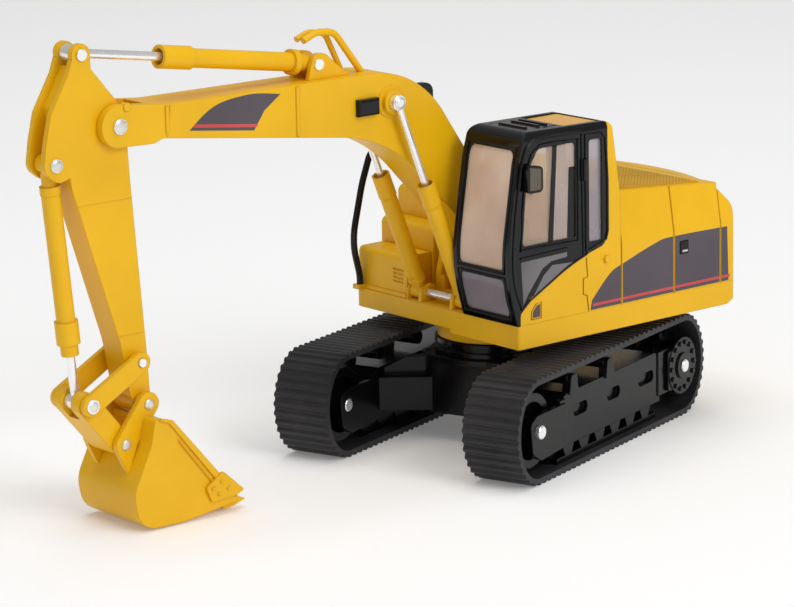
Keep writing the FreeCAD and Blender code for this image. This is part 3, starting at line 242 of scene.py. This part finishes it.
def add_bead(bm, path, radius, sides=8):
    """Round bead along a line of points."""
    points = [Vector(p) for p in path]
    turns = [2 * math.pi * k / sides for k in range(sides)]
    rings = []
    for i, p in enumerate(points):
        before = points[max(i - 1, 0)]
        after = points[min(i + 1, len(points) - 1)]
        along = (after - before).normalized()
        helper = Vector((0, 0, 1)) if abs(along.z) < 0.8 else Vector((1, 0, 0))
        u = along.cross(helper).normalized()
        w = along.cross(u)
        rings.append([bm.verts.new(p + radius * (u * math.cos(a) + w * math.sin(a))) for a in turns])
    for lower, upper in zip(rings, rings[1:]):
        for k in range(sides):
            n = (k + 1) % sides
            bm.faces.new((lower[k], lower[n], upper[n], upper[k]))
    bm.faces.new(rings[0])
    bm.faces.new(rings[-1])


def clip(outline, limit, larger):
    """Part of an outline on one side of a limit along its first axis."""
    result = []
    for i, here in enumerate(outline):
        there = outline[(i + 1) % len(outline)]
        inside = here[0] >= limit if larger else here[0] <= limit
        next_inside = there[0] >= limit if larger else there[0] <= limit
        if inside:
            result.append(here)
        if inside != next_inside:
            t = (limit - here[0]) / (there[0] - here[0])
            result.append((limit, here[1] + t * (there[1] - here[1])))
    return result


def between(outline, low, high):
    return clip(clip(outline, low, True), high, False)


def smooth_line(points, steps=6):
    """Catmull-Rom line through the points."""
    line = []
    for i in range(len(points) - 1):
        p0 = Vector(points[max(i - 1, 0)])
        p1 = Vector(points[i])
        p2 = Vector(points[i + 1])
        p3 = Vector(points[min(i + 2, len(points) - 1)])
        for k in range(steps):
            t = k / steps
            line.append(0.5 * (2 * p1 + (p2 - p0) * t + (2 * p0 - 5 * p1 + 4 * p2 - p3) * t * t
                               + (3 * p1 - p0 - 3 * p2 + p3) * t * t * t))
    line.append(Vector(points[-1]))
    return [tuple(p) for p in line]


# ---------------------------------------------------------------- plain panels on the house and the boom

HOUSE_BORDER = [(-4.4, 33.9), (-9.8, 39.0), (-14.3, 40.8), (-23.4, 43.6), (-28.6, 44.3), (-45.7, 44.1)]
PANEL_FOOT_Z = 31.75
house_outline = smooth_line(HOUSE_BORDER) + [(-46.2, PANEL_FOOT_Z), (-3.9, PANEL_FOOT_Z)]
STRIPE_Z = (32.5, 33.1)
STRIPE_END_X = -4.6
FILM = 0.04        # how far a printed panel stands off the paint
PANEL_SPANS = ((-13.05, -4.0), (-28.9, -13.6), (-43.4, -29.5), (-46.6, -43.9))

for sign, tag in ((1, "left"), (-1, "right")):
    spans = PANEL_SPANS if sign > 0 else PANEL_SPANS[1:]
    dark = bmesh.new()
    red = bmesh.new()
    for low, high in spans:
        add_prism(dark, between(house_outline, low, high), sign * SIDE_Y, sign * (SIDE_Y + FILM), on_side)
        end = min(high, STRIPE_END_X)
        line = [(low, STRIPE_Z[0]), (end, STRIPE_Z[0]), (end, STRIPE_Z[1]), (low, STRIPE_Z[1])]
        add_prism(red, line, sign * (SIDE_Y + 0.03), sign * (SIDE_Y + 0.06), on_side)
    finish_mesh("house_panel_" + tag, dark, panel, "upper", smooth=False)
    finish_mesh("house_stripe_" + tag, red, stripe, "upper", smooth=False)

BOOM_BORDER = [(86.0, 80.2), (81.6, 83.4), (77.0, 85.1), (69.5, 85.7), (62.4, 84.8)]
boom_outline = smooth_line(BOOM_BORDER) + [(66.7, 81.9), (69.5, 78.1)]
for sign, tag in ((1, "left"), (-1, "right")):
    dark = bmesh.new()
    add_prism(dark, boom_outline, sign * BOOM_Y, sign * (BOOM_Y + 0.05), on_side)
    finish_mesh("boom_panel_" + tag, dark, panel, "boom_arm", smooth=False)
    red = bmesh.new()
    add_prism(red, [(85.2, 80.7), (68.9, 78.7), (68.4, 79.3), (84.6, 81.3)], sign * (BOOM_Y + 0.04),
              sign * (BOOM_Y + 0.07), on_side)
    finish_mesh("boom_stripe_" + tag, red, stripe, "boom_arm", smooth=False)


# ---------------------------------------------------------------- hood: fine perforated panel

MESH_X = (-39.6, -15.0)
MESH_Y = (-1.6, 24.8)
HOLE_PITCH = 1.0
HOLE_HALF = 0.3
SHEET = 0.28


HOOD_REAR = (-43.6, 54.2)
HOOD_FRONT = (-13.4, 56.5)


def hood_top(x):
    """Height of the sloping hood top."""
    rise = HOOD_FRONT[1] - HOOD_REAR[1]
    run = HOOD_FRONT[0] - HOOD_REAR[0]
    return HOOD_REAR[1] + (x - HOOD_REAR[0]) * rise / run


def ring_of(bm, x, y, half, lift):
    corners = ((-half, -half), (half, -half), (half, half), (-half, half))
    return [bm.verts.new((x + dx, y + dy, hood_top(x + dx) + lift)) for dx, dy in corners]


mesh_panel = bmesh.new()
COLUMNS = int((MESH_X[1] - MESH_X[0]) / HOLE_PITCH)
ROWS = int((MESH_Y[1] - MESH_Y[0]) / HOLE_PITCH)
for i in range(COLUMNS):
    for j in range(ROWS):
        x = MESH_X[0] + (i + 0.5) * HOLE_PITCH
        y = MESH_Y[0] + (j + 0.5) * HOLE_PITCH
        outer = ring_of(mesh_panel, x, y, HOLE_PITCH / 2, SHEET)
        lip = ring_of(mesh_panel, x, y, HOLE_HALF, SHEET)
        foot = ring_of(mesh_panel, x, y, HOLE_HALF * 0.8, 0.02)
        for k in range(4):
            n = (k + 1) % 4
            mesh_panel.faces.new((outer[k], outer[n], lip[n], lip[k]))
            mesh_panel.faces.new((lip[k], lip[n], foot[n], foot[k]))
        mesh_panel.faces.new(foot)
bmesh.ops.remove_doubles(mesh_panel, verts=mesh_panel.verts, dist=0.01)
rim = [e for e in mesh_panel.edges if len(e.link_faces) == 1]
skirt = bmesh.ops.extrude_edge_only(mesh_panel, edges=rim)["geom"]
skirt_points = [v for v in skirt if isinstance(v, bmesh.types.BMVert)]
bmesh.ops.translate(mesh_panel, vec=(0, 0, -SHEET), verts=skirt_points)
# The perforated panel takes the darker grille enamel, which paints shade on it.
perforated = finish_mesh("hood_mesh_panel", mesh_panel, grille_paint, "upper",
                         smooth=False)
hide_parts("hood_grille")


# ---------------------------------------------------------------- seat and inside of the cab

MID_Y = (CAB_Y0 + CAB_Y1) / 2
seat = bmesh.new()
add_box(seat, -3.0, 3.5, MID_Y - 2.4, MID_Y + 2.4, DECK_TOP_Z + 1.0, 39.6)
CUSHION = [(-4.0, 39.4), (5.0, 39.4), (5.4, 42.0), (1.0, 41.5), (-4.0, 41.9)]
BACKREST = [(-4.3, 41.2), (-2.1, 41.2), (-2.6, 46.0), (-4.3, 57.2), (-6.2, 57.2)]
HEADREST = [(-6.2, 57.0), (-4.7, 57.0), (-4.9, 61.8), (-6.4, 61.8)]
for outline, half_width in ((CUSHION, 3.9), (BACKREST, 3.5), (HEADREST, 2.1)):
    add_prism(seat, outline, MID_Y - half_width, MID_Y + half_width, on_side)
seat_piece = finish_mesh("operator_seat", seat, seat_cloth, "upper", round_mm=0.55,
                         segments=4)
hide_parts("seat")


# ---------------------------------------------------------------- cab trim

FACE_Y = CAB_Y1 + 0.05


def side_bead(bm, path, radius, y=FACE_Y, closed=False):
    points = list(path) + ([path[0]] if closed else [])
    add_bead(bm, [(a, y, b) for a, b in points], radius)


trim = bmesh.new()
DOOR_EDGE = [(16.0, 35.2), (17.7, 40.0), (18.3, 45.0), (17.9, 52.0), (16.9, 60.0), (15.8, 66.0), (14.5, 69.6),
             (12.2, 71.3), (9.0, 71.7), (3.0, 71.6), (-1.4, 71.3)]
side_bead(trim, smooth_line(DOOR_EDGE, 4), 0.32)
DOOR_WINDOW = [(-0.5, 47.7), (-0.5, 69.9), (6.5, 70.1), (10.4, 70.0), (12.9, 68.2), (14.6, 64.6),
               (15.6, 56.0), (16.3, 48.0)]
side_bead(trim, DOOR_WINDOW, 0.3, closed=True)
side_bead(trim, [(-1.6, 71.0), (-1.7, 58.0), (-2.0, 44.1)], 0.26)
QUARTER = [(-2.8, 45.0), (-2.7, 70.6), (-7.2, 70.4), (-8.6, 68.9), (-9.1, 60.0), (-9.1, 48.6), (-8.6, 46.9),
           (-6.8, 46.1)]
side_bead(trim, QUARTER, 0.28, closed=True)
side_bead(trim, [(16.0, 34.9), (13.8, 36.7), (7.2, 40.1), (2.6, 42.5), (-3.0, 44.4)], 0.24)
side_bead(trim, [(16.4, 46.2), (2.8, 46.6)], 0.24)
SLIDE_Y = (26.95, 27.2)    # depth of the sliding window, its bar and the painted shade strip
SLIDE_BAR = [(5.4, 69.2), (6.5, 69.2), (8.0, 48.7), (6.7, 48.7)]
# Black strip at the rear edge of the door window: painted shade of the dark inside of the cab.
REAR_WINDOW_SHADE = [(0.25, 64.0), (1.9, 64.0), (2.5, 48.7), (0.25, 48.7)]
add_prism(trim, SLIDE_BAR, SLIDE_Y[0], SLIDE_Y[1], on_side)
add_prism(trim, REAR_WINDOW_SHADE, SLIDE_Y[0], SLIDE_Y[0] + 0.12, on_side)

cab_mesh = frame["nodes"]["cab_frame"].data
cab_faces = [list(p.vertices) for p in cab_mesh.polygons]
surface = BVHTree.FromPolygons([v.co for v in cab_mesh.vertices], cab_faces)


def front_point(y, z):
    """Point on the curved front of the cab."""
    hit = surface.ray_cast(Vector((0.05, y * MM, z * MM)), Vector((-1.0, 0.0, 0.0)))[0]
    return (hit.x / MM + 0.05, y, z)


def front_loop(bm, y0, y1, z0, z1, radius):
    """Bead round a front window, following the curve of the cab."""
    steps = 9
    rise = [z0 + (z1 - z0) * k / steps for k in range(steps + 1)]
    path = [front_point(y0, z) for z in rise] + [front_point(y1, z) for z in reversed(rise)]
    add_bead(bm, path + [path[0]], radius)


POST_WIDTH = 1.3
for foot_z, head_z, bead_r in ((43.3, 69.8, 0.26), (32.9, 42.3, 0.24)):
    front_loop(trim, CAB_Y0 + POST_WIDTH, CAB_Y1 - POST_WIDTH, foot_z, head_z, bead_r)
RIB_HALF = 0.35
RIB_INSET = 4.6
for rib_x in (4.4, 6.6, 10.2):
    add_box(trim, rib_x - RIB_HALF, rib_x + RIB_HALF, CAB_Y0 + RIB_INSET, CAB_Y1 - RIB_INSET, CAB_TOP_Z - 0.2,
            CAB_TOP_Z + 0.25)
finish_mesh("cab_trim", trim, gloss, "upper")

foot_panes = bmesh.new()
UPPER_FOOT = [(16.2, 45.4), (2.9, 45.7), (2.9, 44.7), (7.4, 44.4), (10.0, 43.2), (14.2, 38.2), (15.6, 36.0)]
LOWER_FOOT = [(7.2, 43.5), (0.4, 43.2), (4.0, 41.7), (9.4, 39.2), (12.7, 37.6), (9.7, 41.6)]
for outline in (UPPER_FOOT, LOWER_FOOT):
    add_prism(foot_panes, outline, CAB_Y1, FACE_Y, on_side)
door_grey = material("door_grey", srgb(92, 88, 92), srgb(120, 116, 118), 0.16, grain=0.02, edge_mm=0.0,
                     specular=0.4)
finish_mesh("door_foot_panes", foot_panes, door_grey, "upper", smooth=False)

vent = bmesh.new()
VENT = [(13.0, 32.8), (12.9, 34.1), (11.8, 35.3), (10.8, 35.6), (10.8, 32.8)]
add_prism(vent, VENT, CAB_Y1, CAB_Y1 + FILM, on_side)
finish_mesh("door_vent", vent, panel, "upper", smooth=False)

# Dark amber lines along the door and vent seams paint the shade in the grooves.
seams = bmesh.new()
DOOR_SEAM = [(-2.75, 43.6), (-3.1, 39.3), (-1.85, 39.1), (-1.8, 35.6), (-2.9, 35.2), (-3.4, 31.7)]
VENT_SEAM = [(13.4, 32.5), (13.3, 34.2), (12.0, 35.7), (10.5, 36.0), (10.5, 32.5)]
side_bead(seams, DOOR_SEAM, 0.13, CAB_Y1)
side_bead(seams, VENT_SEAM, 0.12, CAB_Y1, closed=True)
finish_mesh("panel_seam_shade", seams, seam_shade_tone, "upper")

sliding = bmesh.new()
SLIDING_PANE = [(5.4, 69.0), (0.4, 69.0), (0.4, 48.8), (6.7, 48.8)]
add_prism(sliding, SLIDING_PANE, SLIDE_Y[0] - 0.02, SLIDE_Y[0] + 0.05, on_side)
finish_mesh("door_sliding_pane", sliding, cool_pane, "upper", smooth=False)

mirror_face = bmesh.new()
MIRROR_OUT = 2.08    # outer face of the left mirror, measured from the cab side
MIRROR_FACE = [(12.1, 61.0), (15.2, 61.0), (15.2, 66.0), (12.1, 65.4)]
add_prism(mirror_face, MIRROR_FACE, CAB_Y1 + MIRROR_OUT, CAB_Y1 + MIRROR_OUT + 0.06, on_side)
mirror_tint = material("mirror_tint", srgb(44, 40, 36), srgb(92, 82, 64), 0.12, grain=0.02, edge_mm=0.0,
                       specular=0.5)
finish_mesh("mirror_back_plate", mirror_face, mirror_tint, "upper", smooth=False)

# Black plate for the hood latch; its black paints the shade inside the latch recess.
latch = bmesh.new()
add_box(latch, -33.6, -30.9, SIDE_Y, SIDE_Y + 0.22, 39.9, 42.9)
finish_mesh("hood_latch", latch, gloss, "upper", round_mm=0.15)
# Bright strip on the latch: painted highlight in the slot.
latch_glint = bmesh.new()
add_box(latch_glint, -33.1, -31.4, SIDE_Y + 0.2, SIDE_Y + 0.45, 40.4, 40.9)
finish_mesh("latch_painted_highlight", latch_glint, pin_metal, "upper", round_mm=0.1)

# ---------------------------------------------------------------- weld beads and bosses on the arm

LIFT_HEAD = (32.8, 79.5)     # pin of the lift cylinders' rods on the boom
BOOM_NOSE = (103.3, 83.3)    # pin between boom and stick
LIFT_BOSS_R = 3.4
BOSS_SIDES = 40


def add_side_beads(bm, lines, y, radius):
    """The same straight or bent beads on both sides of a plate at the given half width."""
    for sign in (1, -1):
        for line in lines:
            add_bead(bm, [(a, sign * y, b) for a, b in line], radius)


weld = bmesh.new()
add_side_beads(weld, [[(58.0, 75.2), (57.4, 85.8)], [(91.6, 79.6), (90.6, 86.1)]], BOOM_Y, 0.2)
boss_ring = []
for k in range(BOSS_SIDES + 1):
    turn = 2 * math.pi * k / BOSS_SIDES
    boss_x = LIFT_HEAD[0] + LIFT_BOSS_R * math.cos(turn)
    boss_z = LIFT_HEAD[1] + LIFT_BOSS_R * math.sin(turn)
    boss_ring.append((boss_x, boss_z))
add_side_beads(weld, [boss_ring], BOOM_Y, 0.25)
finish_mesh("boom_welds", weld, weld_paint, "boom_arm")

bucket_weld = bmesh.new()
BUCKET_Y = 10.4
add_side_beads(bucket_weld, [[(83.9, 4.0), (87.2, 8.2), (91.2, 13.2), (94.9, 17.9)]], BUCKET_Y, 0.16)
finish_mesh("bucket_side_beads", bucket_weld, weld_paint, "bucket_unit")

stick_weld = bmesh.new()
add_side_beads(stick_weld, [[(97.6, 40.0), (103.9, 40.0)], [(99.7, 68.0), (112.6, 68.0)]], STICK_Y, 0.14)
finish_mesh("stick_welds", stick_weld, weld_paint, "stick_arm")

# ---------------------------------------------------------------- bright pin heads

heads = {"boom_arm": [(BOOM_NOSE, BOOM_Y + 0.4, 1.4), (LIFT_HEAD, 8.3, 1.35)],
         "stick_arm": [((117.6, 77.0), STICK_Y + 0.3, 1.2)],
         "link_pair": [((112.9, 27.5), 6.15, 1.15)],
         "bucket_unit": [((99.0, 25.5), 6.1, 1.1), ((105.0, 18.0), 6.1, 1.1)]}
for body, spots in heads.items():
    bm = bmesh.new()
    for centre, y, radius in spots:
        for sign in (1, -1):
            add_disc(bm, centre, sign * (y - 0.3), sign * (y + 0.3), radius, dome=0.18)
    finish_mesh(body + "_pin_heads", bm, pin_metal, body)


# ---------------------------------------------------------------- camera, light, floor

floor_mesh = bpy.data.meshes.new("floor")
floor_bm = bmesh.new()
bmesh.ops.create_grid(floor_bm, x_segments=1, y_segments=1, size=6.0)
floor_bm.to_mesh(floor_mesh)
floor_bm.free()
floor = bpy.data.objects.new("floor", floor_mesh)
bpy.context.scene.collection.objects.link(floor)
pale = material("pale_floor", (0.87, 0.87, 0.87, 1), (0.9, 0.9, 0.9, 1), 0.7, tone_scale=3.0, grain=0.0,
                edge_mm=0.0, specular=0.2)
floor_mesh.materials.append(pale)
floor_shader = pale.node_tree.nodes["Principled BSDF"]
floor_shader.inputs["Emission Color"].default_value = (1.0, 1.0, 1.0, 1.0)
floor_shader.inputs["Emission Strength"].default_value = 0.14
floor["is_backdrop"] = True

world = bpy.context.scene.world or bpy.data.worlds.new("world")
bpy.context.scene.world = world
world.use_nodes = True
world.node_tree.nodes["Background"].inputs["Color"].default_value = (1.0, 1.0, 1.0, 1.0)
world.node_tree.nodes["Background"].inputs["Strength"].default_value = 0.4


def softbox(name, place, target, size, power):
    data = bpy.data.lights.new(name, "AREA")
    data.shape = "SQUARE"
    data.size = size
    data.energy = power
    lamp = bpy.data.objects.new(name, data)
    lamp.location = place
    lamp.rotation_mode = "QUATERNION"
    lamp.rotation_quaternion = (Vector(target) - Vector(place)).to_track_quat("-Z", "Y")
    bpy.context.scene.collection.objects.link(lamp)


CENTRE = (0.03, 0.0, 0.05)
softbox("key", (-0.05, 1.3, 0.85), CENTRE, 0.8, 9.4)
softbox("top", (0.1, 0.0, 1.5), CENTRE, 1.2, 9.6)
softbox("front", (1.3, 0.3, 0.6), CENTRE, 0.7, 0.5)

cam_data = bpy.data.cameras.new("camera")
cam_data.sensor_width = 36.0
cam_data.lens = 163.4
cam_data.clip_start = 0.01
cam_data.clip_end = 50.0
cam = bpy.data.objects.new("camera", cam_data)
bpy.context.scene.collection.objects.link(cam)
CAMERA_PLACE = Vector((0.51578, 0.58267, 0.21047))
azimuth = math.radians(-129.95)
elevation = math.radians(-13.08)
roll = math.radians(-1.065)
level = math.cos(elevation)
look = Vector((level * math.cos(azimuth), level * math.sin(azimuth), math.sin(elevation)))
flat_right = look.cross(Vector((0, 0, 1))).normalized()
flat_up = flat_right.cross(look)
right = math.cos(roll) * flat_right + math.sin(roll) * flat_up
up = math.cos(roll) * flat_up - math.sin(roll) * flat_right
facing = Matrix((right, up, -look)).transposed().to_4x4()
cam.matrix_world = Matrix.Translation(CAMERA_PLACE) @ facing
bpy.context.scene.camera = cam
bpy.context.scene.view_settings.view_transform = "Standard"

low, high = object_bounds()
